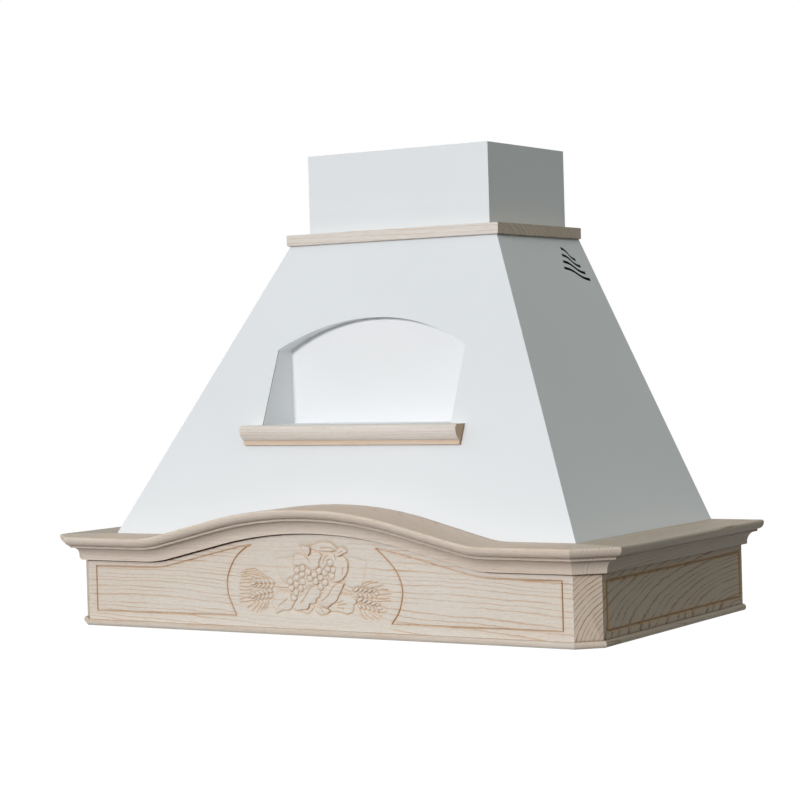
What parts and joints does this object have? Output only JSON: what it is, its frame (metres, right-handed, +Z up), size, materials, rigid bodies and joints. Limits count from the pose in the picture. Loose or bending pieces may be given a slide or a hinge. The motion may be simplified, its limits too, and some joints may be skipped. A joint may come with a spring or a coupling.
{
  "type": "wall range hood",
  "caption": "Pyramid wall hood with an arched display niche, a carved ash cornice frame, underside grease filters, lamps, push buttons and a ducted blower.",
  "frame": {"origin": "centre of the hood on the wall plane, level with the lowest edge of the wooden frame", "axes": "+X to the right as seen from the front, +Y into the wall, +Z up"},
  "size_m": [0.9, 0.49, 0.662],
  "materials": {
    "ash_wood": "sanded, unpainted",
    "white_enamel": "satin white",
    "grey_enamel": "satin",
    "galvanised_steel": "galvanised",
    "bright_steel": "turned",
    "aluminium": "anodised",
    "chrome": "polished",
    "lens_glass": "frosted",
    "white_plastic": "matte",
    "button_plastic": "smooth",
    "dark_plastic": "matte",
    "motor_paint": "satin"
  },
  "bodies": {
    "hood": {"front_panel": "ash_wood", "cornice_front": "ash_wood", "base_bead_front": "ash_wood", "niche_shelf": "ash_wood", "neck_trim_front": "ash_wood", "canopy_shell": "white_enamel", "niche_box": "white_enamel", "chimney_cover": "white_enamel", "chimney_bracket": "galvanised_steel", "top_plate": "galvanised_steel", "back_plate": "galvanised_steel", "base_tray": "grey_enamel", "control_bezel": "white_plastic", "switch_box": "dark_plastic", "motor_body": "motor_paint", "motor_bracket": "galvanised_steel", "outlet_collar": "dark_plastic", "flap_pin": "bright_steel", "junction_box": "dark_plastic", "junction_lid": "dark_plastic", "capacitor": "white_plastic", "cable_gland": "dark_plastic", "frame_screws": "bright_steel", "blower_screws": "bright_steel", "corner_board_left": "ash_wood", "corner_board_right": "ash_wood", "side_panel_left": "ash_wood", "side_panel_right": "ash_wood", "cornice_corner_left": "ash_wood", "cornice_corner_right": "ash_wood", "cornice_side_left": "ash_wood", "cornice_side_right": "ash_wood", "base_bead_corner_left": "ash_wood", "base_bead_corner_right": "ash_wood", "base_bead_side_left": "ash_wood", "base_bead_side_right": "ash_wood", "neck_trim_left": "ash_wood", "neck_trim_right": "ash_wood", "lamp_housing_left": "chrome", "lamp_housing_right": "chrome", "lamp_lens_left": "lens_glass", "lamp_lens_right": "lens_glass", "blower_housing_left": "dark_plastic", "blower_housing_right": "dark_plastic"},
    "fan": {"fan_wheel": "dark_plastic", "motor_shaft": "bright_steel"},
    "front_flap": {"flap_front": "dark_plastic"},
    "rear_flap": {"flap_rear": "dark_plastic"},
    "filter_left": {"filter_frame_left": "aluminium", "filter_mesh_left": "aluminium"},
    "latch_left": {"filter_latch_left": "dark_plastic"},
    "filter_right": {"filter_frame_right": "aluminium", "filter_mesh_right": "aluminium"},
    "latch_right": {"filter_latch_right": "dark_plastic"},
    "push_button_1": {"button_1": "button_plastic"},
    "push_button_2": {"button_2": "button_plastic"},
    "push_button_3": {"button_3": "button_plastic"},
    "push_button_4": {"button_4": "button_plastic"},
    "push_button_5": {"button_5": "button_plastic"}
  },
  "joints": [
    {"name": "fan_spin", "type": "hinge", "parent": "hood", "child": "fan", "pos_m": [0, -0.16379, 0.34], "axis": [1, 0, 0], "continuous": true},
    {"name": "front_flap_swing", "type": "hinge", "parent": "hood", "child": "front_flap", "pos_m": [0, -0.1108, 0.545], "axis": [-1, 0, 0], "range_deg": [0, 75]},
    {"name": "rear_flap_swing", "type": "hinge", "parent": "hood", "child": "rear_flap", "pos_m": [0, -0.1108, 0.545], "axis": [1, 0, 0], "range_deg": [0, 75]},
    {"name": "filter_left_swing", "type": "hinge", "parent": "hood", "child": "filter_left", "pos_m": [-0.18, -0.05, 0.025], "axis": [1, 0, 0], "range_deg": [0, 70]},
    {"name": "latch_left_slide", "type": "slide", "parent": "filter_left", "child": "latch_left", "axis": [0, 1, 0], "range_m": [0, 0.006], "stiffness_N_per_m": 400},
    {"name": "filter_right_swing", "type": "hinge", "parent": "hood", "child": "filter_right", "pos_m": [0.18, -0.05, 0.025], "axis": [1, 0, 0], "range_deg": [0, 70]},
    {"name": "latch_right_slide", "type": "slide", "parent": "filter_right", "child": "latch_right", "axis": [0, 1, 0], "range_m": [0, 0.006], "stiffness_N_per_m": 400},
    {"name": "button_1_press", "type": "slide", "parent": "hood", "child": "push_button_1", "axis": [0, 0, 1], "range_m": [0, 0.003], "stiffness_N_per_m": 200},
    {"name": "button_2_press", "type": "slide", "parent": "hood", "child": "push_button_2", "axis": [0, 0, 1], "range_m": [0, 0.003], "stiffness_N_per_m": 200},
    {"name": "button_3_press", "type": "slide", "parent": "hood", "child": "push_button_3", "axis": [0, 0, 1], "range_m": [0, 0.003], "stiffness_N_per_m": 200},
    {"name": "button_4_press", "type": "slide", "parent": "hood", "child": "push_button_4", "axis": [0, 0, 1], "range_m": [0, 0.003], "stiffness_N_per_m": 200},
    {"name": "button_5_press", "type": "slide", "parent": "hood", "child": "push_button_5", "axis": [0, 0, 1], "range_m": [0, 0.003], "stiffness_N_per_m": 200}
  ]
}
